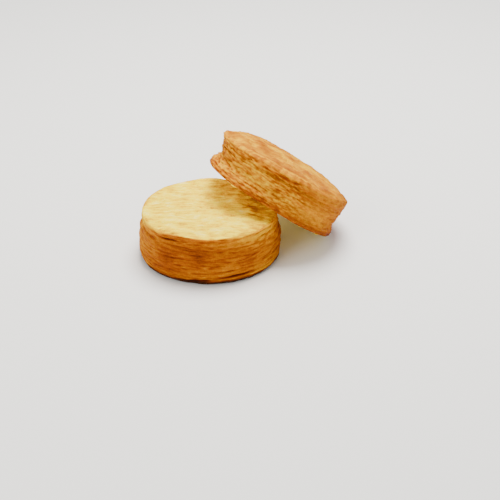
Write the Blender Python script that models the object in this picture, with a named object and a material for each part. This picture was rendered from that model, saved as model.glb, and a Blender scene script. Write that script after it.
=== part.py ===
"""A buttermilk biscuit split in two: the bottom half stands cut face up, and the top half leans on its edge.

Each half is a loft of closed rings. A ring's points all belong to one flaky layer, so the layers show as ledges
that rise and fall round the side. Metres, +Z up, origin at the centre of the underside of the bottom half.
"""

import math

import bmesh
import bpy
from mathutils import Vector, noise

MM = 0.001

# Driving dimensions of the bottom half
BOTTOM_RADIUS = 43.2 * MM
BOTTOM_HEIGHT = 30.7 * MM
BOTTOM_LAYERS = 11

# Driving dimensions of the top half, in its own frame: cut face at z = 0, crust up
TOP_RADIUS = 43.4 * MM
TOP_HEIGHT = 24.3 * MM
TOP_LAYERS = 9
CROWN_RISE = 3.0 * MM
CROWN_LEAN = 1.5 * MM
LIP_DROOP = 1.3 * MM
SHOULDER_DROP = 1.6 * MM

# How the top half leans: its tilt from flat, the heading of its low edge, and where its centre stands
LID_TILT = math.radians(36.0)
LID_HEADING = math.radians(22.9)
LID_FORWARD = 43.4 * MM
LID_SIDEWAYS = 7.4 * MM
PRESSED = 1.9 * MM

# Mesh fineness
SEGMENTS = 96
CUT_RINGS = (0.965, 0.87, 0.74, 0.60, 0.45, 0.30, 0.15)
CROWN_RINGS = (0.965, 0.90, 0.81, 0.69, 0.54, 0.36, 0.18)
BASE_RINGS = (0.94, 0.62, 0.30)

BOTTOM_COLOUR = (0.60, 0.30, 0.07, 1.0)
TOP_COLOUR = (0.64, 0.33, 0.09, 1.0)


def wave(angle, frequency, row, strength):
    """Smooth noise round the side that closes on itself, one independent row for each use."""
    place = Vector((frequency * math.cos(angle), frequency * math.sin(angle), 5.37 * row))
    return strength * noise.noise(place)


def bump(value, centre, width):
    """A smooth hump of height 1 at centre."""
    return math.exp(-(((value - centre) / width) ** 2))


def ease(value):
    """0 below 0, 1 above 1 and a smooth rise between."""
    value = min(max(value, 0.0), 1.0)
    return value * value * (3 - 2 * value)


def layer_edge(angle, layer, layers, row):
    """Height share, 0 to 1, of the crease under a layer. Layers are uneven and drift up and down."""
    share = layer / layers
    if 0 < layer < layers:
        share += wave(0.0, 1.0, 40 + row + layer, 0.55 / layers)
        share += wave(angle, 0.9, row + layer, 0.75 / layers)
    return share


def side_nodes(angle, body, layers, row, crease, ledge):
    """(height share, radius) up the side: a crease, then the lip of the layer above it, and so on."""
    nodes = []
    edges = [layer_edge(angle, layer, layers, row) for layer in range(layers + 1)]
    for layer in range(layers):
        low, high = edges[layer], edges[layer + 1]
        lip = low + 0.55 * (high - low)
        depth = crease * (0.65 + wave(angle, 1.7, 80 + row + layer, 1.1))
        reach = wave(angle, 1.3, 120 + row + layer, ledge)
        if layer:
            nodes.append((low, body(angle, low) - max(depth, 0.0)))
        nodes.append((lip, body(angle, lip) + reach))
    return nodes


def bottom_body(angle, share):
    """Radius of the bottom half before its layers: a belly low down and a pinch under the cut face."""
    radius = BOTTOM_RADIUS * (1 + wave(angle, 0.8, 1, 0.018) + wave(angle, 2.1, 2, 0.008))
    radius += 0.9 * MM * bump(share, 0.34, 0.26)
    radius -= 1.5 * MM * bump(share, 0.82, 0.13)
    radius -= 0.7 * MM * bump(share, 1.0, 0.10)
    return radius - 1.3 * MM * bump(share, 0.0, 0.05)


def top_body(angle, share):
    """Radius of the top half before its layers: a waist over the cut edge and a crust that flares out."""
    radius = TOP_RADIUS * (1 + wave(angle, 0.8, 11, 0.018) + wave(angle, 2.1, 12, 0.008))
    high_end = 0.5 - 0.5 * math.cos(angle)
    low_end = 1 - high_end
    radius -= (0.6 + 2.2 * high_end ** 3) * MM * bump(share, 0.38, 0.16)
    radius += 2.8 * MM * high_end ** 2 * bump(share, 0.88, 0.12)
    radius -= 1.9 * MM * bump(angle, 1.30 * math.pi, 0.62) * bump(share, 0.80, 0.06)
    return radius + (1.1 * high_end + 1.6 * low_end ** 4) * MM * bump(share, 0.06, 0.16)


def bottom_cut(x, y):
    """Height of the bottom half's cut face: near flat, with torn hollows, pressed down where the top leans."""
    place = Vector((x, y, 0.0)) / (24 * MM)
    tear = noise.noise(place + Vector((3.1, 0.4, 0.0)))
    along = (x * math.cos(LID_HEADING) + y * math.sin(LID_HEADING)) / BOTTOM_RADIUS
    return BOTTOM_HEIGHT + 1.3 * MM * tear - PRESSED * ease((along - 0.45) / 0.5)


def top_cut(x, y):
    """Height of the top half's cut face in its own frame: a torn shallow dish that droops at the high end."""
    reach = math.hypot(x, y) / TOP_RADIUS
    place = Vector((x, y, 0.0)) / (22 * MM)
    tear = noise.noise(place + Vector((7.9, 2.2, 0.0)))
    droop = LIP_DROOP * max(-x / TOP_RADIUS, 0.0) ** 4
    return 2.3 * MM * (1 - min(reach, 1.0) ** 2) + 0.5 * MM * tear - droop


def crown(x, y):
    """Height of the top crust in its own frame: a low dome with a few soft blisters."""
    reach = min(math.hypot(x, y) / TOP_RADIUS, 1.0)
    angle = math.atan2(y, x) % (2 * math.pi)
    place = Vector((x, y, 0.0)) / (19 * MM)
    blister = noise.noise(place + Vector((1.3, 5.2, 0.0)))
    edge = wave(angle, 0.8, 21, 2.2 * MM) + 2.2 * MM * bump(angle, 1.62 * math.pi, 0.75)
    shoulder = SHOULDER_DROP * (1 - 0.8 * bump(angle, 1.30 * math.pi, 0.60)) * ease((reach - 0.84) / 0.16) ** 2
    dome = CROWN_RISE * (1 - reach ** 2.6) + CROWN_LEAN * x / TOP_RADIUS
    return TOP_HEIGHT + edge * reach ** 3 + dome + 1.3 * MM * blister - shoulder


def polar(radius, angle, height):
    return (radius * math.cos(angle), radius * math.sin(angle), height)


def cap_ring(edge, share, height):
    """The ring at a share of an edge ring's radius, at height(x, y)."""
    return [(x * share, y * share, height(x * share, y * share)) for x, y, z in edge]


def flat_height(x, y):
    return 0.0


def loft(name, rings, first_centre, last_centre):
    """A closed mesh through rings of SEGMENTS points, from a centre point to a centre point."""
    mesh = bpy.data.meshes.new(name)
    shape = bmesh.new()
    loops = [[shape.verts.new(point) for point in ring] for ring in rings]
    first = shape.verts.new(first_centre)
    last = shape.verts.new(last_centre)
    for step in range(SEGMENTS):
        after = (step + 1) % SEGMENTS
        shape.faces.new((first, loops[0][after], loops[0][step]))
        shape.faces.new((last, loops[-1][step], loops[-1][after]))
        for low, high in zip(loops, loops[1:]):
            shape.faces.new((low[step], low[after], high[after], high[step]))
    bmesh.ops.recalc_face_normals(shape, faces=shape.faces)
    shape.to_mesh(mesh)
    shape.free()
    mesh.shade_smooth()
    mesh.set_sharp_from_angle(angle=math.radians(40))
    return bpy.data.objects.new(name, mesh)


def baked_material(name, colour, roughness):
    material = bpy.data.materials.new(name)
    material.use_nodes = True
    surface = material.node_tree.nodes["Principled BSDF"]
    surface.inputs["Base Color"].default_value = colour
    surface.inputs["Roughness"].default_value = roughness
    surface.inputs["Metallic"].default_value = 0.0
    return material


def side_rings(body, layers, row, crease, ledge, level):
    """One ring for each crease and lip, where level(angle, share) turns a height share into a height."""
    angles = [2 * math.pi * step / SEGMENTS for step in range(SEGMENTS)]
    columns = [side_nodes(angle, body, layers, row, crease, ledge) for angle in angles]
    rings = []
    for node in range(len(columns[0])):
        ring = []
        for angle, column in zip(angles, columns):
            share, radius = column[node]
            ring.append(polar(radius, angle, level(angle, share)))
        rings.append(ring)
    return rings


def bottom_level(angle, share):
    x, y, _ = polar(BOTTOM_RADIUS, angle, 0.0)
    return share * bottom_cut(x, y)


def top_level(angle, share):
    x, y, _ = polar(TOP_RADIUS, angle, 0.0)
    return top_cut(x, y) + share * (crown(x, y) - top_cut(x, y))


def make_bottom_half(collection):
    sides = side_rings(bottom_body, BOTTOM_LAYERS, 0, 0.5 * MM, 0.8 * MM, bottom_level)
    foot = [cap_ring(sides[0], share, flat_height) for share in reversed(BASE_RINGS)]
    cut = [cap_ring(sides[-1], share, bottom_cut) for share in CUT_RINGS]
    lip = cap_ring(sides[-1], 0.995, bottom_cut)
    rings = foot + sides + [lip] + cut
    half = loft("bottom_half", rings, (0, 0, 0), (0, 0, bottom_cut(0, 0)))
    half.data.materials.append(baked_material("bottom_half", BOTTOM_COLOUR, 0.7))
    collection.objects.link(half)
    return half


def make_top_half(collection):
    sides = side_rings(top_body, TOP_LAYERS, 200, 0.8 * MM, 1.1 * MM, top_level)
    cut = [cap_ring(sides[0], share, top_cut) for share in reversed(CUT_RINGS)]
    shell = [cap_ring(sides[-1], share, crown) for share in CROWN_RINGS]
    half = loft("top_half", cut + sides + shell, (0, 0, top_cut(0, 0)), (0, 0, crown(0, 0)))
    half.data.materials.append(baked_material("top_half", TOP_COLOUR, 0.6))
    half.rotation_euler = (0, LID_TILT, LID_HEADING)
    turn = half.rotation_euler.to_matrix()
    lowest = min((turn @ vertex.co).z for vertex in half.data.vertices)
    forward = Vector((math.cos(LID_HEADING), math.sin(LID_HEADING), 0))
    sideways = Vector((-forward.y, forward.x, 0))
    half.location = LID_FORWARD * forward + LID_SIDEWAYS * sideways - Vector((0, 0, lowest))
    collection.objects.link(half)
    return half


def main():
    for old in list(bpy.data.objects):
        bpy.data.objects.remove(old)
    collection = bpy.data.collections.new("buttermilk_biscuit")
    bpy.context.scene.collection.children.link(collection)
    make_bottom_half(collection)
    make_top_half(collection)


main()
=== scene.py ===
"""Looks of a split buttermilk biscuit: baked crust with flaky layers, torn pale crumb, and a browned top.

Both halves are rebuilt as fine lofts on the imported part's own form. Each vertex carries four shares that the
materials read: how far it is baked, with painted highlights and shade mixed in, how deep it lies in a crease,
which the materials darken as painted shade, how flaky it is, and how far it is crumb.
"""

import math

import bpy
from mathutils import Euler, Matrix, Vector, noise


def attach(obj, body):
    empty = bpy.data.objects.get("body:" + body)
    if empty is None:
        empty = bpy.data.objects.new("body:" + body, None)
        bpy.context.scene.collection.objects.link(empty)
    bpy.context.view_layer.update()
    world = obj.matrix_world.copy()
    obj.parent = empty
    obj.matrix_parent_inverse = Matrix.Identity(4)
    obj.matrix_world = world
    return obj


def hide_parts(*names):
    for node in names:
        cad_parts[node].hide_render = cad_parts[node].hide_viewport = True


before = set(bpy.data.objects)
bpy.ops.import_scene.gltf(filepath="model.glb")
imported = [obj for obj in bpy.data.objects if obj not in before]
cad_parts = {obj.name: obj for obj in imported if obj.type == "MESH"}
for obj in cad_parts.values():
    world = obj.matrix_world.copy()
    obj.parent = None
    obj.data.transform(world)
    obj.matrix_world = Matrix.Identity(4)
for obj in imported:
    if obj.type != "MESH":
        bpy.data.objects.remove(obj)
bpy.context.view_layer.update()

MM = 0.001
TURN = 2 * math.pi
QUARTER_TURN = 0.5 * math.pi

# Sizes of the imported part
BOTTOM_RADIUS = 43.2 * MM
BOTTOM_HEIGHT = 30.7 * MM
BOTTOM_LAYERS = 11
TOP_RADIUS = 43.4 * MM
TOP_HEIGHT = 24.3 * MM
TOP_LAYERS = 9
CROWN_RISE = 3.0 * MM
CROWN_LEAN = 1.5 * MM
LIP_DROOP = 1.3 * MM
SHOULDER_DROP = 1.6 * MM
LID_TILT = math.radians(36.0)
LID_HEADING = math.radians(22.9)
LID_FORWARD = 43.4 * MM
LID_SIDEWAYS = 7.4 * MM
LID_ROTATION = Euler((0, LID_TILT, LID_HEADING))
PRESSED = 1.9 * MM

# Fineness of the visible meshes
SEGMENTS = 400
SIDE_ROWS = 120
CUT_ROWS = 62
CROWN_ROWS = 48
BASE_ROWS = 20
ROUND_ROWS = 6
ANGLES = [TURN * step / SEGMENTS for step in range(SEGMENTS)]
# Outermost and innermost ring of a cut face, as shares of its edge's radius
OUTER_RING = 0.994
INNER_RING = 0.02

# Camera: the photograph's viewing angle
VIEW_ELEVATION = math.radians(29.09)
VIEW_DISTANCE = 0.70
VIEW_TARGET = Vector((0.0248, -0.0285, 0.0160))
LENS = 83.55
SENSOR_WIDTH = 36.0
NEAR_CLIP = 0.05

# Studio: the floor, the surroundings and the soft lights
FLOOR_HALF = 2.0
FLOOR_COLOUR = (0.83, 0.82, 0.79, 1.0)
FLOOR_ROUGHNESS = 0.9
SKY_COLOUR = (1.0, 0.99, 0.97, 1.0)
SKY_STRENGTH = 0.75
LIGHT_SIZE = 0.6
LIGHT_TARGET = (0.02, 0.0, 0.02)
# Name, place, power in watts and colour of each light
SOFTBOXES = (
    ("overhead_softbox", (0.10, 0.28, 0.9), 22.0, (1.0, 0.99, 0.97)),
    ("front_softbox", (-0.6, -0.8, 0.6), 6.0, (1.0, 0.98, 0.95)),
)


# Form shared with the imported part


def wave(angle, frequency, row, strength):
    """Smooth noise round the side that closes on itself, one independent row for each use."""
    place = Vector((frequency * math.cos(angle), frequency * math.sin(angle), 5.37 * row))
    return strength * noise.noise(place)


def bump(value, centre, width):
    """A smooth hump of height 1 at centre."""
    return math.exp(-(((value - centre) / width) ** 2))


def ease(value):
    """0 below 0, 1 above 1 and a smooth rise between."""
    value = min(max(value, 0.0), 1.0)
    return value * value * (3 - 2 * value)


def layer_edge(angle, layer, layers, row):
    """Height share of the crease under a layer. Layers are uneven and drift up and down."""
    share = layer / layers
    if 0 < layer < layers:
        share += wave(0.0, 1.0, 40 + row + layer, 0.55 / layers)
        share += wave(angle, 0.9, row + layer, 0.75 / layers)
    return share


def bottom_body(angle, share):
    """Radius of the bottom half before its layers: a belly low down and a pinch under the cut face."""
    radius = BOTTOM_RADIUS * (1 + wave(angle, 0.8, 1, 0.018) + wave(angle, 2.1, 2, 0.008))
    radius += 0.9 * MM * bump(share, 0.34, 0.26)
    radius -= 1.5 * MM * bump(share, 0.82, 0.13)
    radius -= 0.7 * MM * bump(share, 1.0, 0.10)
    return radius - 1.3 * MM * bump(share, 0.0, 0.05)


def top_body(angle, share):
    """Radius of the top half before its layers: a waist over the cut edge and a crust that flares out."""
    radius = TOP_RADIUS * (1 + wave(angle, 0.8, 11, 0.018) + wave(angle, 2.1, 12, 0.008))
    high_end = 0.5 - 0.5 * math.cos(angle)
    low_end = 1 - high_end
    radius -= (0.6 + 2.2 * high_end ** 3) * MM * bump(share, 0.38, 0.16)
    radius += 2.8 * MM * high_end ** 2 * bump(share, 0.88, 0.12)
    radius -= 1.9 * MM * bump(angle, 1.30 * math.pi, 0.62) * bump(share, 0.80, 0.06)
    return radius + (1.1 * high_end + 1.6 * low_end ** 4) * MM * bump(share, 0.06, 0.16)


def along_lean(x, y):
    """How far a place on the bottom half lies towards the leaning top half, as a share of the radius."""
    return (x * math.cos(LID_HEADING) + y * math.sin(LID_HEADING)) / BOTTOM_RADIUS


def bottom_cut(x, y):
    """Height of the bottom half's cut face: torn but near flat, and pressed down where the top leans."""
    place = Vector((x, y, 0.0)) / (24 * MM)
    tear = noise.noise(place + Vector((3.1, 0.4, 0.0)))
    return BOTTOM_HEIGHT + 1.3 * MM * tear - PRESSED * ease((along_lean(x, y) - 0.45) / 0.5)


def top_cut(x, y):
    """Height of the top half's cut face in its own frame: a torn shallow dish that droops at the high end."""
    reach = math.hypot(x, y) / TOP_RADIUS
    place = Vector((x, y, 0.0)) / (22 * MM)
    tear = noise.noise(place + Vector((7.9, 2.2, 0.0)))
    droop = LIP_DROOP * max(-x / TOP_RADIUS, 0.0) ** 4
    return 2.3 * MM * (1 - min(reach, 1.0) ** 2) + 0.5 * MM * tear - droop


def crown(x, y):
    """Height of the top crust in its own frame: a low dome with a few soft blisters."""
    reach = min(math.hypot(x, y) / TOP_RADIUS, 1.0)
    angle = math.atan2(y, x) % TURN
    place = Vector((x, y, 0.0)) / (19 * MM)
    blister = noise.noise(place + Vector((1.3, 5.2, 0.0)))
    edge = wave(angle, 0.8, 21, 2.2 * MM) + 2.2 * MM * bump(angle, 1.62 * math.pi, 0.75)
    held_up = 1 - 0.8 * bump(angle, 1.30 * math.pi, 0.60)
    shoulder = SHOULDER_DROP * held_up * ease((reach - 0.84) / 0.16) ** 2
    dome = CROWN_RISE * (1 - reach ** 2.6) + CROWN_LEAN * x / TOP_RADIUS
    return TOP_HEIGHT + edge * reach ** 3 + dome + 1.3 * MM * blister - shoulder


def polar(radius, angle, height):
    """The point at a radius, an angle and a height."""
    return (radius * math.cos(angle), radius * math.sin(angle), height)


def bottom_level(angle, share):
    """Height of a share of the bottom half's side."""
    x, y, _ = polar(BOTTOM_RADIUS, angle, 0.0)
    return share * bottom_cut(x, y)


def top_level(angle, share):
    """Height of a share of the top half's side, in its own frame."""
    x, y, _ = polar(TOP_RADIUS, angle, 0.0)
    return top_cut(x, y) + share * (crown(x, y) - top_cut(x, y))


# Noise and fine relief of the visible pieces

# One seed for each use of flat_noise. A crumb seed takes the four numbers after it too
BOTTOM_CRUMB_SEED = 5
TOP_CRUMB_SEED = 15
GOLD_DRIFT_SEED = 31
GOLD_PATCH_SEED = 33
GOLD_STRAND_SEED = 34
UNDERSIDE_PATCH_SEED = 35
UNDERSIDE_STRAND_SEED = 36
DIMPLE_SEED = 41
PIT_SEED = 42
BASE_TONE_SEED = 43
BLISTER_SEED = 51
CRAG_SEED = 52
CRUST_GRAIN_SEED = 53
CRUST_TONE_SEED = 54
CRACKED_AREA_SEED = 56
CRACK_SEED = 57

# One seed for each use of flake
SHEET_SEED = 1
THREAD_SEED = 2
TORN_SEED = 3
SHOULDER_SEED = 4

# One row for each use of wave, beside the form's own
RIM_FADE_ROW = 61


def flat_noise(x, y, cell, seed):
    """Smooth noise over a flat face, with one cell size in metres and its own seed."""
    return noise.noise(Vector((x / cell + 17.3 * seed, y / cell - 9.1 * seed, 4.7 * seed)))


def broad_tone(angle, share, lift):
    """Smooth noise over a side, in a few broad patches. Each half has its own lift and so its own patches."""
    return noise.noise(Vector(polar(1.6, angle, 2.2 * share + lift)))


def heading_gap(angle, heading):
    """Degrees from a heading in degrees to an angle, between -180 and 180."""
    return (math.degrees(angle) - heading + 180) % 360 - 180


def spread(rows, start, end):
    """Evenly spaced values from start to end, both included."""
    return [start + (end - start) * row / (rows - 1) for row in range(rows)]


class Layers:
    """The creases and lips of one half's side, read at any angle and height share."""

    # Where a layer's lip stands out, as a share of the layer's height, and how deep a full crease is
    LIP = 0.55
    FULL_CREASE = 0.7 * MM

    def __init__(self, layers, row, crease, ledge):
        self.layers, self.row, self.crease, self.ledge = layers, row, crease, ledge

    def column(self, angle):
        """(crease share, crease depth, lip reach) of each layer at this angle."""
        rows = []
        for layer in range(self.layers):
            low = layer_edge(angle, layer, self.layers, self.row)
            depth = self.crease * (0.65 + wave(angle, 1.7, 80 + self.row + layer, 1.1))
            depth *= 0.75 + wave(angle, 8.0, 160 + self.row + layer, 1.3)
            reach = wave(angle, 1.3, 120 + self.row + layer, self.ledge)
            rows.append((low, max(depth, 0.0) if layer else 0.0, reach))
        rows.append((1.0, 0.0, rows[-1][2]))
        return rows

    @classmethod
    def read(cls, column, share):
        """(radius offset, crease share 0 to 1) at a height share: narrow creases between rounded lips."""
        for (low, depth, reach), (high, next_depth, _) in zip(column, column[1:]):
            if share <= high:
                break
        place = (share - low) / max(high - low, 1e-6)
        if place < cls.LIP:
            across, edge = place / cls.LIP, depth
        else:
            across, edge = (1 - place) / (1 - cls.LIP), next_depth
        across = min(max(across, 0.0), 1.0)
        swell = math.sin(QUARTER_TURN * across) ** 0.7
        return -edge + (reach + edge) * swell, (1 - across) ** 3 * min(edge / cls.FULL_CREASE, 1.0)


def flake(angle, height, frequency, thickness, seed):
    """Noise drawn out round the side and thin up it, which bends up and down as the layers do."""
    drift = 0.9 * MM * noise.noise(Vector(polar(2, angle, height / (9 * MM) + seed)))
    return noise.noise(Vector(polar(frequency, angle, (height + drift) / thickness + 7.7 * seed)))


def flaky_relief(angle, height, strength, ragged=1.0):
    """(radius offset, crease share, how raised, about -1 to 1) of the thin flakes between the main layers."""
    sheets = flake(angle, height, 4.5 * ragged, 1.3 * MM, SHEET_SEED)
    threads = flake(angle, height, 11.0 * ragged, 0.65 * ragged * MM, THREAD_SEED)
    torn = ease((flake(angle, height, 7.0 * ragged, 1.9 * MM, TORN_SEED) - 0.05) / 0.12)
    grain = noise.noise(Vector(polar(46, angle, height / (0.8 * MM))))
    offset = (0.42 * sheets + 0.26 * threads + 0.34 * torn - 0.17 + 0.10 * grain) * MM
    crease = min(max(-1.5 * sheets - 0.9 * threads - 0.15, 0.0), 1.0)
    raised = 0.6 * sheets + threads + 0.3 * (torn - 0.5)
    return strength * offset, crease, raised


def open_crevices(crevices, angle, share, thinness):
    """(depth in metres, crease share) of the listed crevices at a place on the side."""
    depth = crease = 0.0
    for heading, half_width, level, deep in crevices:
        gap = heading_gap(angle, heading)
        drift = 0.012 * math.sin(2.3 * gap / half_width)
        near = bump(gap, 0, half_width) * bump(share, level + drift, thinness)
        depth += deep * MM * near
        crease = max(crease, 1.3 * near)
    return depth, crease


def crumb_relief(x, y, seed):
    """(height, pore share) of torn crumb: ragged sheets drawn one way, with small pores."""
    drawn = x * 0.55 + y * 0.18
    sheets = flat_noise(drawn, y, 5.2 * MM, seed)
    strands = flat_noise(drawn, y, 1.9 * MM, seed + 1)
    grain = flat_noise(x, y, 0.9 * MM, seed + 2)
    torn = ease((flat_noise(drawn, y, 7.5 * MM, seed + 3) - 0.02) / 0.12)
    pore = ease((flat_noise(x, y, 1.7 * MM, seed + 4) - 0.50) / 0.18)
    return (0.75 * sheets + 0.50 * strands + 0.22 * grain + 0.45 * torn - 0.4 * pore) * MM, pore


class Skin:
    """Rings of points with their bake, crease, side and crumb shares, made into one closed mesh."""

    # The crease share only darkens the colour, as painted shade; the bake share carries painted highlights and
    # shade too
    SHARES = ("bake", "crease", "side", "crumb")
    # Painted shade in the crumb's pores: how much darker a pore is, and how far it counts as a crease
    PORE_SHADE = 0.06
    PORE_CREASE = 0.1

    def __init__(self):
        self.points, self.bake, self.crease, self.side, self.crumb = [], [], [], [], []

    def add(self, point, bake, crease=0.0, side=0.0, crumb=0.0):
        """The next point of a ring, or a centre. Bake and crease are kept between 0 and 1."""
        self.points.append(point)
        self.bake.append(min(max(bake, 0.0), 1.0))
        self.crease.append(min(max(crease, 0.0), 1.0))
        self.side.append(side)
        self.crumb.append(crumb)

    def add_crumb(self, point, bake, pore=0.0):
        """A point on a cut face."""
        # Pores are darkened as painted shade
        self.add(point, bake + self.PORE_SHADE * pore, self.PORE_CREASE * pore, crumb=1.0)

    def build(self, name):
        """The mesh through all rings, closed by a fan at each end. The first ring's centre comes first."""
        rings = (len(self.points) - 2) // SEGMENTS
        faces = []
        for step in range(SEGMENTS):
            after = (step + 1) % SEGMENTS
            faces.append((0, 1 + after, 1 + step))
            for ring in range(rings - 1):
                low, high = 1 + ring * SEGMENTS, 1 + (ring + 1) * SEGMENTS
                faces.append((low + step, low + after, high + after, high + step))
            last = 1 + (rings - 1) * SEGMENTS
            faces.append((last + step, last + after, len(self.points) - 1))
        mesh = bpy.data.meshes.new(name)
        mesh.from_pydata(self.points, [], faces)
        for share in self.SHARES:
            layer = mesh.attributes.new(share, "FLOAT", "POINT")
            layer.data.foreach_set("value", getattr(self, share))
        mesh.shade_smooth()
        piece = bpy.data.objects.new(name, mesh)
        bpy.context.scene.collection.objects.link(piece)
        return piece


# Bottom half

BOTTOM_SIDE = Layers(BOTTOM_LAYERS, 0, 0.5 * MM, 0.8 * MM)
BOTTOM_FLAKES = 0.75
# Deep open crevices: heading in degrees, half width in degrees, height share, depth in millimetres
BOTTOM_CREVICES = (
    (234, 9, 0.86, 1.3),
    (290, 16, 0.16, 1.0),
    (262, 14, 0.10, 0.8),
    (60, 20, 0.55, 1.2),
    (165, 15, 0.7, 1.2),
)
CREVICE_THINNESS = 0.022

# The base: its innermost and outermost ring as shares of the foot's radius, how far it is baked, the height
# of its centre and the depth of its dimples
BASE_START = 0.04
BASE_REACH = 0.94
BASE_BAKED = 0.70
BASE_CENTRE = 0.25 * MM
DIMPLE_DEPTH = 0.9 * MM
# The height share where the side starts, and the bake of the round turn under it
FOOT = 0.05
FOOT_BAKED = 0.97

# The cut rim's rounding: the height share where it starts, how far it pulls in and how far it falls
RIM_SHARE = 0.955
RIM_INSET = 0.9 * MM
RIM_FALL = 0.5 * MM

# How far the bottom half's side is baked, before what the tables below add
BOTTOM_BAKED = 0.63
# Brown patches: heading in degrees, height share, strength
BROWN_PATCHES = (
    (234, 0.50, 0.9),
    (262, 0.68, 0.8),
    (246, 0.72, 0.5),
    (300, 0.45, 0.4),
    (95, 0.6, 0.8),
    (150, 0.4, 0.7),
)
# How much browner a patch of strength 1 is, and its half width in degrees and half height as a share
PATCH_BROWNER = 0.16
PATCH_HALF_WIDTH = 8
PATCH_HALF_HEIGHT = 0.22
# Paler stretches of the side: heading in degrees, half width in degrees, how much paler. The one at 185
# degrees, the left edge, is a painted reflection
PALE_STRETCHES = ((185, 22, 0.12), (322, 28, 0.10))
# Paler bands round the side: height share, half height, how much paler
PALE_BANDS = ((0.10, 0.07, 0.08), (0.86, 0.11, 0.11))
# The dark line at the foot, dark baked crust with painted contact shadow in it: the height share of its top,
# how softly it ends, and how much darker it is
FOOT_CRUST_AND_SHADOW = (0.112, 0.045, 0.42)
# The golden rim: the height share where it starts, how softly it does, and how much paler it is
GOLD_RIM = (0.91, 0.08, 0.24)
# Where that gold fades, a painted shade under the leaning top half: heading and half width in degrees
SHADED_HEADING = 345
SHADED_HALF_WIDTH = 32
# Where the streaks of the side are softer: heading and half width in degrees
SOFT_HEADING = 320
SOFT_HALF_WIDTH = 26


def rim_wear(angle):
    """How rounded the cut rim is: fully, but hardly where the leaning top half rests on it."""
    return 1 - 0.8 * bump(math.cos(angle - LID_HEADING), 1.0, 0.10)


def bottom_side_bake_and_light(angle, share, raised):
    """How far the bottom half's side is baked, with painted highlights and painted shade mixed in."""
    # Raised flakes are a little paler: a painted highlight
    bake = BOTTOM_BAKED + 0.10 * broad_tone(angle, share, 3.3) - 0.05 * raised
    for heading, level, strength in BROWN_PATCHES:
        across = bump(heading_gap(angle, heading), 0, PATCH_HALF_WIDTH)
        bake += PATCH_BROWNER * strength * across * bump(share, level, PATCH_HALF_HEIGHT)
    # The stretch at the left edge is a painted reflection
    for heading, half_width, paler in PALE_STRETCHES:
        bake -= paler * bump(heading_gap(angle, heading), 0, half_width)
    for level, half_height, paler in PALE_BANDS:
        bake -= paler * bump(share, level, half_height)
    # Dark baked crust at the foot, with painted contact shadow in it
    top, softness, darker = FOOT_CRUST_AND_SHADOW
    bake += darker * ease((top - share) / softness)
    start, softness, paler = GOLD_RIM
    # The gold rim fades where the leaning top half shades it: painted shade
    shaded = bump(heading_gap(angle, SHADED_HEADING), 0, SHADED_HALF_WIDTH)
    drift = wave(angle, 3.5, RIM_FADE_ROW, 0.09)
    return bake - paler * (1 - 0.8 * shaded) * ease((share - start - drift) / softness)


def bottom_side_point(angle, share, column):
    """(point, bake, crease) on the bottom half's side."""
    offset, crease = Layers.read(column, share)
    height = bottom_level(angle, share)
    fine, thin_crease, raised = flaky_relief(angle, height, BOTTOM_FLAKES)
    depth, deep_crease = open_crevices(BOTTOM_CREVICES, angle, share, CREVICE_THINNESS)
    calm = ease(share / 0.06) * ease((1 - share) / 0.05)
    rim = rim_wear(angle) * max((share - RIM_SHARE) / (1 - RIM_SHARE), 0.0) ** 2
    radius = bottom_body(angle, share) + offset + fine * (0.35 + 0.65 * calm) - depth - RIM_INSET * rim
    crease = max(0.45 * crease, 0.35 * thin_crease, deep_crease)
    return polar(radius, angle, height - RIM_FALL * rim), bottom_side_bake_and_light(angle, share, raised), crease


def bottom_cut_bake_and_shade(x, y):
    """How golden the bottom half's cut face is: pale, with gold near the rim, and painted shade of the leaning
    top half.
    """
    reach = math.hypot(x, y) / BOTTOM_RADIUS
    drift = flat_noise(x, y, 9 * MM, GOLD_DRIFT_SEED)
    patches = flat_noise(0.6 * x + 0.3 * y, y, 6 * MM, GOLD_PATCH_SEED)
    gold = 0.25 + 0.20 * patches + 0.14 * flat_noise(0.5 * x, y, 2.2 * MM, GOLD_STRAND_SEED)
    # Browner towards the leaning top half: painted shade that it casts on the cut face
    gold += 0.30 * ease((along_lean(x, y) + 0.14 * drift + 0.14 * patches - 0.02) / 0.78)
    left = bump(math.atan2(-y, -x), 0.0, 0.9)
    return gold + (0.14 + 0.16 * left) * ease((reach + 0.04 * drift - 0.93) / 0.06)


def add_base(skin, foot):
    """The underside, from its centre outwards: flat, browned and a little dimpled."""
    skin.add((0, 0, BASE_CENTRE), BASE_BAKED)
    for reach in spread(BASE_ROWS, BASE_START, BASE_REACH):
        for x, y, _ in foot:
            x, y = reach * x, reach * y
            dimple = max(flat_noise(x, y, 4 * MM, DIMPLE_SEED), 0.0)
            dimple += 0.4 * max(flat_noise(x, y, 1.5 * MM, PIT_SEED), 0.0)
            height = DIMPLE_DEPTH * dimple * (1 - ease((reach - 0.86) / 0.08))
            bake = BASE_BAKED + 0.16 * flat_noise(x, y, 14 * MM, BASE_TONE_SEED)
            bake += 0.12 * ease((reach - 0.8) / 0.14) - 0.1 * dimple
            skin.add((x, y, height), bake)


def add_foot(skin, foot):
    """A round turn from the base to the foot of the side."""
    for turn in spread(ROUND_ROWS, 0.12, 0.9):
        reach = BASE_REACH + (1 - BASE_REACH) * math.sin(QUARTER_TURN * turn)
        for x, y, z in foot:
            height = z * (1 - math.cos(QUARTER_TURN * turn))
            # The crease share of 0.3 paints shade into this turn under the biscuit
            skin.add((reach * x, reach * y, height), FOOT_BAKED, 0.3, 0.5)


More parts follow.
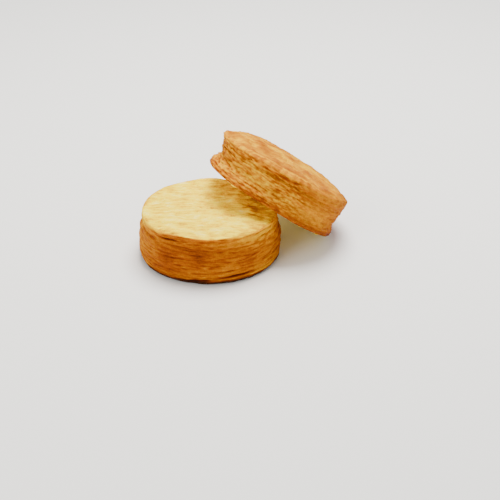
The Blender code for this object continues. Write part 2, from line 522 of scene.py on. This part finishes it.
def add_bottom_cut(skin, edge):
    """The bottom half's cut face, from its rim in to its centre."""
    for reach in spread(CUT_ROWS, OUTER_RING, INNER_RING):
        for angle, (x, y, _) in zip(ANGLES, edge):
            x, y = reach * x, reach * y
            relief, pore = crumb_relief(x, y, BOTTOM_CRUMB_SEED)
            height = bottom_cut(x, y) + relief * ease((1 - reach) / 0.03)
            height -= RIM_FALL * rim_wear(angle) * ease((reach - 0.96) / 0.04) ** 2
            skin.add_crumb((x, y, height), bottom_cut_bake_and_shade(x, y), pore)
    skin.add_crumb((0, 0, bottom_cut(0, 0)), bottom_cut_bake_and_shade(0, 0))


def make_bottom_half():
    skin = Skin()
    columns = [BOTTOM_SIDE.column(angle) for angle in ANGLES]
    foot = [bottom_side_point(angle, FOOT, column)[0] for angle, column in zip(ANGLES, columns)]
    add_base(skin, foot)
    add_foot(skin, foot)
    for share in spread(SIDE_ROWS, FOOT, 1.0):
        edge = []
        for angle, column in zip(ANGLES, columns):
            point, bake, crease = bottom_side_point(angle, share, column)
            soft = bump(heading_gap(angle, SOFT_HEADING), 0, SOFT_HALF_WIDTH)
            skin.add(point, bake, crease, 0.8 - 0.4 * soft)
            edge.append(point)
    add_bottom_cut(skin, edge)
    return skin.build("bottom_biscuit_half")


# Top half

TOP_SIDE = Layers(TOP_LAYERS, 200, 0.6 * MM, 0.9 * MM)
TOP_FLAKES = 1.15
TOP_RAGGED = 1.4
# Turn, in radians, and lift of the top half's flakes, so that they differ from the bottom half's
TOP_FLAKES_TURN = 1.0
TOP_FLAKES_LIFT = 30 * MM
# Deep open crevices, as on the bottom half
TOP_CREVICES = (
    (205, 3, 0.82, 1.2),
    (221, 5, 0.84, 0.7),
    (236, 5, 0.88, 0.9),
    (249, 4, 0.90, 0.7),
    (240, 4, 0.52, 0.6),
    (100, 14, 0.7, 1.5),
    (20, 12, 0.55, 1.3),
    (150, 8, 0.8, 1.1),
    (60, 7, 0.4, 1.0),
)
TOP_CREVICE_THINNESS = 0.028

# The height share where the side ends, and the share of its radius where the round turn from there ends
BROW = 0.95
SHOULDER_REACH = 0.955
# The crust's outermost ring, and the height of the flakes that run over it
CROWN_REACH = 0.95
SHOULDER_FLAKES = 0.9 * MM
# How far the side, the crust and the cut face's centre are baked, before what is added
TOP_BAKED = 0.475
CRUST_BAKED = 0.51
UNDERSIDE_CENTRE_BAKED = 0.12
# The near side, where the flaky gold runs over the shoulder: heading and half width, in radians
NEAR_HEADING = 1.33 * math.pi
NEAR_HALF_WIDTH = 0.80
# Browner stretches of the crust: heading, half width in radians, reach where each starts, how much browner
BROWN_CRUST = ((1.22 * math.pi, 0.8, 0.4, 0.07), (1.70 * math.pi, 0.9, 0.3, 0.03))
# How far the crust takes the crumb's colours
CROWN_CRUMB = 0.3


def smooth_end(angle):
    """1 at the top half's low end, where its side has baked smooth, and 0 at the flaky high end."""
    return ease((math.cos(angle) + 0.40) / 0.5)


def top_side_bake_and_light(angle, share, raised):
    """How far the top half's side is baked: more at the low end and the cut edge. Raised flakes are paler, a
    painted highlight, and a groove on the near side is darker, a painted shade.
    """
    low_end = 0.5 + 0.5 * math.cos(angle)
    near = bump(angle, 1.30 * math.pi, 0.62)
    bake = TOP_BAKED + 0.08 * broad_tone(angle, share, 8.3)
    bake += 0.16 * low_end ** 2 + 0.17 * bump(share, 0.0, 0.12)
    # Raised flakes are paler: a painted highlight
    bake -= (0.10 - 0.075 * smooth_end(angle)) * math.tanh(2.2 * raised)
    # On the near side: darker along the groove, a painted shade, and paler midway up
    return bake + (0.04 * bump(share, 0.84, 0.06) - 0.07 * bump(share, 0.50, 0.22)) * near


def top_side_point(angle, share, column):
    """(point, bake, crease) on the top half's side, in its own frame."""
    offset, crease = Layers.read(column, share)
    height = top_level(angle, share)
    fine, thin_crease, raised = flaky_relief(
        angle + TOP_FLAKES_TURN, height + TOP_FLAKES_LIFT, TOP_FLAKES, TOP_RAGGED
    )
    depth, deep_crease = open_crevices(TOP_CREVICES, angle, share, TOP_CREVICE_THINNESS)
    calm = ease(share / 0.05) * ease((1 - share) / 0.06)
    fine *= (0.3 + 0.7 * calm) * (1 - 0.45 * smooth_end(angle))
    radius = top_body(angle, share) + offset + fine - depth
    crease = max(0.42 * crease, 0.22 * thin_crease, 0.5 * deep_crease) * (1 - 0.6 * smooth_end(angle))
    return polar(radius, angle, height), top_side_bake_and_light(angle, share, raised), crease


def underside_bake(x, y, reach):
    """How golden the top half's cut face is: pale, with gold near its edge."""
    gold = 0.08 + 0.20 * flat_noise(0.6 * x, y, 7 * MM, UNDERSIDE_PATCH_SEED)
    gold += 0.12 * flat_noise(0.5 * x, y, 2.2 * MM, UNDERSIDE_STRAND_SEED)
    return gold + 0.16 * ease((reach - 0.90) / 0.08)


def crown_relief(x, y):
    """(height, bake) of the top crust: blisters and crags that brown on their tops, and paler cracks."""
    blisters = flat_noise(x, y, 7.5 * MM, BLISTER_SEED)
    crags = flat_noise(x, y, 3.6 * MM, CRAG_SEED)
    grain = flat_noise(x, y, 1.7 * MM, CRUST_GRAIN_SEED)
    crack = 1 - min(abs(flat_noise(x, y, 10 * MM, CRACK_SEED) + 0.30 * crags) / 0.08, 1.0)
    crack *= ease((flat_noise(x, y, 15 * MM, CRACKED_AREA_SEED) + 0.10) / 0.3)
    height = (0.60 * blisters + 0.45 * crags + 0.26 * grain - 0.60 * crack) * MM
    bake = CRUST_BAKED + 0.13 * flat_noise(x, y, 14 * MM, CRUST_TONE_SEED)
    bake += 0.10 * blisters + 0.09 * crags + 0.05 * grain - 0.12 * crack
    return height, bake


def shoulder_bake_and_light(angle, reach, side_bake, crust_bake):
    """(bake, side share): on the near side the flaky gold runs over the shoulder, up to a ridge with a painted
    highlight and a line of painted shade just inside it.
    """
    near = bump(angle, NEAR_HEADING, NEAR_HALF_WIDTH)
    start = SHOULDER_REACH - 0.085 * near
    flaky = ease((reach - start) / 0.025)
    for heading, half_width, inner, browner in BROWN_CRUST:
        crust_bake += browner * bump(angle, heading, half_width) * ease((reach - inner) / 0.4)
    bake = crust_bake + (side_bake + 0.09 - crust_bake) * flaky
    # A darker line just inside the ridge is painted shade, and the paler ridge a painted highlight
    bake += near * (0.07 * bump(reach, start - 0.035, 0.022) - 0.17 * bump(reach, start + 0.01, 0.018))
    return bake, flaky


def add_underside(skin, edge):
    """The top half's cut face, from its centre out to its edge."""
    skin.add_crumb((0, 0, top_cut(0, 0)), UNDERSIDE_CENTRE_BAKED)
    for reach in spread(CUT_ROWS, INNER_RING, OUTER_RING):
        for x, y, _ in edge:
            x, y = reach * x, reach * y
            relief, pore = crumb_relief(x, y, TOP_CRUMB_SEED)
            height = top_cut(x, y) - relief * ease((1 - reach) / 0.03)
            skin.add_crumb((x, y, height), underside_bake(x, y, reach), pore)


def add_shoulder(skin, edge):
    """A round turn from the side's last ring to the crust. Edge holds that ring's (point, bake)."""
    for turn in spread(ROUND_ROWS, 0.15, 0.95):
        reach = 1 - (1 - SHOULDER_REACH) * (1 - math.cos(QUARTER_TURN * turn))
        rise = math.sin(QUARTER_TURN * turn)
        for angle, ((x, y, z), bake) in zip(ANGLES, edge):
            inner = (SHOULDER_REACH * x, SHOULDER_REACH * y)
            relief, crust = crown_relief(*inner)
            crust, flaky = shoulder_bake_and_light(angle, SHOULDER_REACH, bake, crust)
            height = z + (crown(*inner) + relief - z) * rise
            bake += (crust - bake) * turn
            skin.add((reach * x, reach * y, height), bake, 0.0, 1 + (flaky - 1) * turn, CROWN_CRUMB * turn)


def add_crown(skin, edge):
    """The top crust, from the shoulder in to its centre."""
    for reach in spread(CROWN_ROWS, CROWN_REACH, INNER_RING):
        for angle, ((x, y, _), bake) in zip(ANGLES, edge):
            x, y = reach * x, reach * y
            relief, crust = crown_relief(x, y)
            crust, flaky = shoulder_bake_and_light(angle, reach, bake, crust)
            flakes = SHOULDER_FLAKES * flake(angle, reach * TOP_RADIUS, 5.0, 1.2 * MM, SHOULDER_SEED)
            skin.add((x, y, crown(x, y) + relief + flakes * flaky), crust, 0.0, flaky, CROWN_CRUMB)
    relief, crust = crown_relief(0, 0)
    skin.add((0, 0, crown(0, 0) + relief), crust, crumb=CROWN_CRUMB)


def lean(half):
    """Turns the top half's mesh as it leans and sets its lowest point on the floor."""
    turn = LID_ROTATION.to_matrix()
    lowest = min((turn @ vertex.co).z for vertex in half.data.vertices)
    forward = Vector((math.cos(LID_HEADING), math.sin(LID_HEADING), 0))
    sideways = Vector((-forward.y, forward.x, 0))
    place = LID_FORWARD * forward + LID_SIDEWAYS * sideways - Vector((0, 0, lowest))
    half.data.transform(Matrix.Translation(place) @ turn.to_4x4())


def make_top_half():
    skin = Skin()
    columns = [TOP_SIDE.column(angle) for angle in ANGLES]
    cut_edge = [top_side_point(angle, 0.0, column)[0] for angle, column in zip(ANGLES, columns)]
    add_underside(skin, cut_edge)
    for share in spread(SIDE_ROWS, 0.0, BROW):
        edge = []
        for angle, column in zip(ANGLES, columns):
            point, bake, crease = top_side_point(angle, share, column)
            skin.add(point, bake, crease, 1 - 0.6 * smooth_end(angle))
            edge.append((point, bake))
    add_shoulder(skin, edge)
    add_crown(skin, edge)
    half = skin.build("top_biscuit_half")
    lean(half)
    return half


# Materials

# Baking, from raw crumb through gold to the darkest crust: share baked, linear red, green and blue
BAKE_COLOURS = (
    (0.00, 0.98, 0.80, 0.100),
    (0.12, 0.95, 0.70, 0.005),
    (0.24, 0.84, 0.52, 0.000),
    (0.36, 0.72, 0.35, 0.000),
    (0.46, 0.60, 0.23, 0.000),
    (0.54, 0.45, 0.140, 0.000),
    (0.66, 0.31, 0.066, 0.001),
    (0.80, 0.17, 0.029, 0.001),
    (1.00, 0.040, 0.011, 0.003),
)

# The same for the crumb of the cut faces, which stays yellower as it browns
CRUMB_COLOURS = (
    (0.00, 0.98, 0.80, 0.190),
    (0.12, 0.96, 0.74, 0.070),
    (0.22, 0.93, 0.67, 0.004),
    (0.30, 0.88, 0.59, 0.000),
    (0.45, 0.68, 0.37, 0.000),
    (0.60, 0.46, 0.195, 0.000),
    (0.80, 0.22, 0.060, 0.000),
    (1.00, 0.08, 0.020, 0.002),
)

# Painted shade in creases: the colour a full crease multiplies by, and how much tone it adds
CREASE_SHADE_TINT = (0.50, 0.27, 0.12, 1.0)
CREASE_SHADE_TONE = 0.22

# Fine textures: scale and detail of the noise, and how much of it goes into the tone and the relief
STREAKS = {"scale": 1150.0, "detail": 4.0, "tone": 0.24, "relief": 1.2}
STRANDS = {"scale": 620.0, "detail": 4.0, "tone": 0.75, "relief": -2.0}
MOTTLE = {"scale": 330.0, "detail": 5.0, "tone": 0.16, "relief": 1.2}
GRAIN = {"scale": 1100.0, "detail": 3.0, "tone": 0.16, "relief": 1.7}
# How many times longer than high the streaks of each half's side are
BOTTOM_STREAK_LENGTH = 6.0
TOP_STREAK_LENGTH = 4.0
# The crumb's strands: drawn out one way, at an angle, and a little tangled
STRAND_STRETCH = 0.20
STRAND_HEADING = math.radians(14)
STRAND_TANGLE = 0.35
# A higher power keeps the strands to the cut faces, away from the crust's small crumb share
STRAND_POWER = 3.0

# Roughness of pale crumb and of brown crust, and the tones between which it changes
CRUMB_ROUGHNESS = 0.92
CRUST_ROUGHNESS = 0.65
CRUMB_TONE = 0.2
CRUST_TONE = 0.7

RELIEF_STRENGTH = 0.65
RELIEF_DEPTH = 0.35 * MM
SPECULAR = 0.04
SUBSURFACE = 0.12
SUBSURFACE_RADIUS = (1.0, 0.55, 0.2)
SUBSURFACE_DEPTH = 2.5 * MM


class Shader:
    """A new material, with short ways to add nodes to it. Values pass between nodes as output sockets."""

    def __init__(self, name):
        self.material = bpy.data.materials.new(name)
        self.material.use_nodes = True
        self.tree = self.material.node_tree
        self.surface = self.tree.nodes["Principled BSDF"]

    def node(self, kind, links=None, values=None, **settings):
        """A new node. Links gives the output that an input reads, values the number of an unlinked input."""
        made = self.tree.nodes.new(kind)
        for key, value in settings.items():
            setattr(made, key, value)
        for socket, value in (values or {}).items():
            made.inputs[socket].default_value = value
        for socket, output in (links or {}).items():
            self.tree.links.new(output, made.inputs[socket])
        return made

    def attribute(self, name):
        """A share that each vertex carries."""
        return self.node("ShaderNodeAttribute", attribute_name=name).outputs["Fac"]

    def mapping(self, vector, kind="POINT", **values):
        """A place, turned and scaled."""
        made = self.node("ShaderNodeMapping", {"Vector": vector}, values, vector_type=kind)
        return made.outputs["Vector"]

    def texture(self, vector, look, distortion=0.0):
        """A fine texture's noise at a place, centred on 0."""
        values = {"Scale": look["scale"], "Detail": look["detail"], "Distortion": distortion}
        made = self.node("ShaderNodeTexNoise", {"Vector": vector}, values)
        return self.maths("SUBTRACT", made.outputs["Fac"], 0.5)

    def maths(self, operation, first, second):
        """The result of a Math node. Each operand is a number or an output socket."""
        operands = dict(enumerate((first, second)))
        values = {socket: value for socket, value in operands.items() if isinstance(value, float)}
        links = {socket: value for socket, value in operands.items() if socket not in values}
        return self.node("ShaderNodeMath", links, values, operation=operation).outputs[0]

    def total(self, start, *parts):
        """Start plus each part times its amount."""
        for part, amount in parts:
            start = self.maths("ADD", start, self.maths("MULTIPLY", part, amount))
        return start

    def ramp(self, share, stops):
        """The colour at a share, between stops of (share, red, green, blue)."""
        made = self.node("ShaderNodeValToRGB", {"Fac": share})
        elements = made.color_ramp.elements
        while len(elements) > 1:
            elements.remove(elements[-1])
        elements[0].position, elements[0].color = 0.0, (*stops[0][1:], 1.0)
        for position, *colour in stops[1:]:
            elements.new(position).color = (*colour, 1.0)
        return made.outputs["Color"]


def baked_colour(shader, tone, crease, crumb):
    """The crust's or the crumb's colour at a tone, with painted shade multiplied in at creases."""
    crust = shader.ramp(tone, BAKE_COLOURS)
    pale = shader.ramp(tone, CRUMB_COLOURS)
    plain = shader.node("ShaderNodeMix", data_type="RGBA")
    # The tinted mix paints shade into the creases
    tinted = shader.node("ShaderNodeMix", data_type="RGBA", blend_type="MULTIPLY")
    tinted.inputs["B"].default_value = CREASE_SHADE_TINT
    for output, socket in (
        (crumb, plain.inputs["Factor"]),
        (crust, plain.inputs["A"]),
        (pale, plain.inputs["B"]),
        (crease, tinted.inputs["Factor"]),
        (plain.outputs["Result"], tinted.inputs["A"]),
    ):
        shader.tree.links.new(output, socket)
    return tinted.outputs["Result"]


def baked_material(name, streak_length, turned=(0.0, 0.0, 0.0)):
    """Crumb and crust in one: colour from bake, painted shade darkening the creases, fine streaks, grain and
    bump.
    """
    shader = Shader(name)
    bake, crease, side, crumb = (shader.attribute(share) for share in Skin.SHARES)
    coordinates = shader.node("ShaderNodeTexCoord").outputs["Object"]
    place = shader.mapping(coordinates, "TEXTURE", Rotation=turned)
    long_place = shader.mapping(place, Scale=(1 / streak_length, 1 / streak_length, 1.0))
    drawn_place = shader.mapping(place, Scale=(STRAND_STRETCH, 1.0, 1.0), Rotation=(0.0, 0.0, STRAND_HEADING))

    streaks = shader.maths("MULTIPLY", shader.texture(long_place, STREAKS), side)
    only_crumb = shader.maths("POWER", crumb, STRAND_POWER)
    strands = shader.maths("MULTIPLY", shader.texture(drawn_place, STRANDS, STRAND_TANGLE), only_crumb)
    textures = (
        (streaks, STREAKS),
        (strands, STRANDS),
        (shader.texture(place, MOTTLE), MOTTLE),
        (shader.texture(place, GRAIN), GRAIN),
    )
    tones = [(output, look["tone"]) for output, look in textures]
    # Creases add tone here, which darkens the colour: painted shade
    tone = shader.total(bake, *tones, (crease, CREASE_SHADE_TONE))
    relief = shader.total(0.0, *((output, look["relief"]) for output, look in textures))

    span = {
        "From Min": CRUMB_TONE,
        "From Max": CRUST_TONE,
        "To Min": CRUMB_ROUGHNESS,
        "To Max": CRUST_ROUGHNESS,
    }
    depth = {"Strength": RELIEF_STRENGTH, "Distance": RELIEF_DEPTH}
    roughness = shader.node("ShaderNodeMapRange", {"Value": tone}, span)
    bumps = shader.node("ShaderNodeBump", {"Height": relief}, depth)
    surface = shader.surface.inputs
    shader.tree.links.new(baked_colour(shader, tone, crease, crumb), surface["Base Color"])
    shader.tree.links.new(roughness.outputs["Result"], surface["Roughness"])
    shader.tree.links.new(bumps.outputs["Normal"], surface["Normal"])
    surface["Specular IOR Level"].default_value = SPECULAR
    surface["Subsurface Weight"].default_value = SUBSURFACE
    surface["Subsurface Radius"].default_value = SUBSURFACE_RADIUS
    surface["Subsurface Scale"].default_value = SUBSURFACE_DEPTH
    return shader.material


def floor_material():
    shader = Shader("pale_floor")
    shader.surface.inputs["Base Color"].default_value = FLOOR_COLOUR
    shader.surface.inputs["Roughness"].default_value = FLOOR_ROUGHNESS
    return shader.material


# Stage


def make_floor():
    mesh = bpy.data.meshes.new("floor")
    corners = ((-1, -1), (1, -1), (1, 1), (-1, 1))
    mesh.from_pydata([(FLOOR_HALF * x, FLOOR_HALF * y, 0) for x, y in corners], [], [(0, 1, 2, 3)])
    mesh.materials.append(floor_material())
    floor = bpy.data.objects.new("floor", mesh)
    bpy.context.scene.collection.objects.link(floor)


def aim(thing, place, target):
    """Puts a lamp or camera at a place, looking at a target."""
    thing.location = place
    thing.rotation_euler = (Vector(target) - Vector(place)).to_track_quat("-Z", "Y").to_euler()


def make_lights():
    world = bpy.data.worlds.new("studio")
    world.use_nodes = True
    sky = world.node_tree.nodes["Background"]
    sky.inputs["Color"].default_value = SKY_COLOUR
    sky.inputs["Strength"].default_value = SKY_STRENGTH
    bpy.context.scene.world = world
    for name, place, power, colour in SOFTBOXES:
        lamp = bpy.data.lights.new(name, "AREA")
        lamp.shape = "DISK"
        lamp.size = LIGHT_SIZE
        lamp.energy = power
        lamp.color = colour
        light = bpy.data.objects.new(name, lamp)
        bpy.context.scene.collection.objects.link(light)
        aim(light, place, LIGHT_TARGET)


def make_camera():
    camera = bpy.data.objects.new("camera", bpy.data.cameras.new("camera"))
    camera.data.lens = LENS
    camera.data.sensor_width = SENSOR_WIDTH
    camera.data.clip_start = NEAR_CLIP
    back = Vector((0.0, -math.cos(VIEW_ELEVATION), math.sin(VIEW_ELEVATION)))
    aim(camera, VIEW_TARGET + VIEW_DISTANCE * back, VIEW_TARGET)
    bpy.context.scene.collection.objects.link(camera)
    bpy.context.scene.camera = camera


def main():
    noise.seed_set(0)
    make_camera()
    make_lights()
    make_floor()
    for piece, node, material in (
        (make_bottom_half(), "bottom_half", baked_material("bottom_biscuit", BOTTOM_STREAK_LENGTH)),
        (make_top_half(), "top_half", baked_material("top_biscuit", TOP_STREAK_LENGTH, LID_ROTATION)),
    ):
        piece.data.materials.append(material)
        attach(piece, "root")
        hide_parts(node)


main()
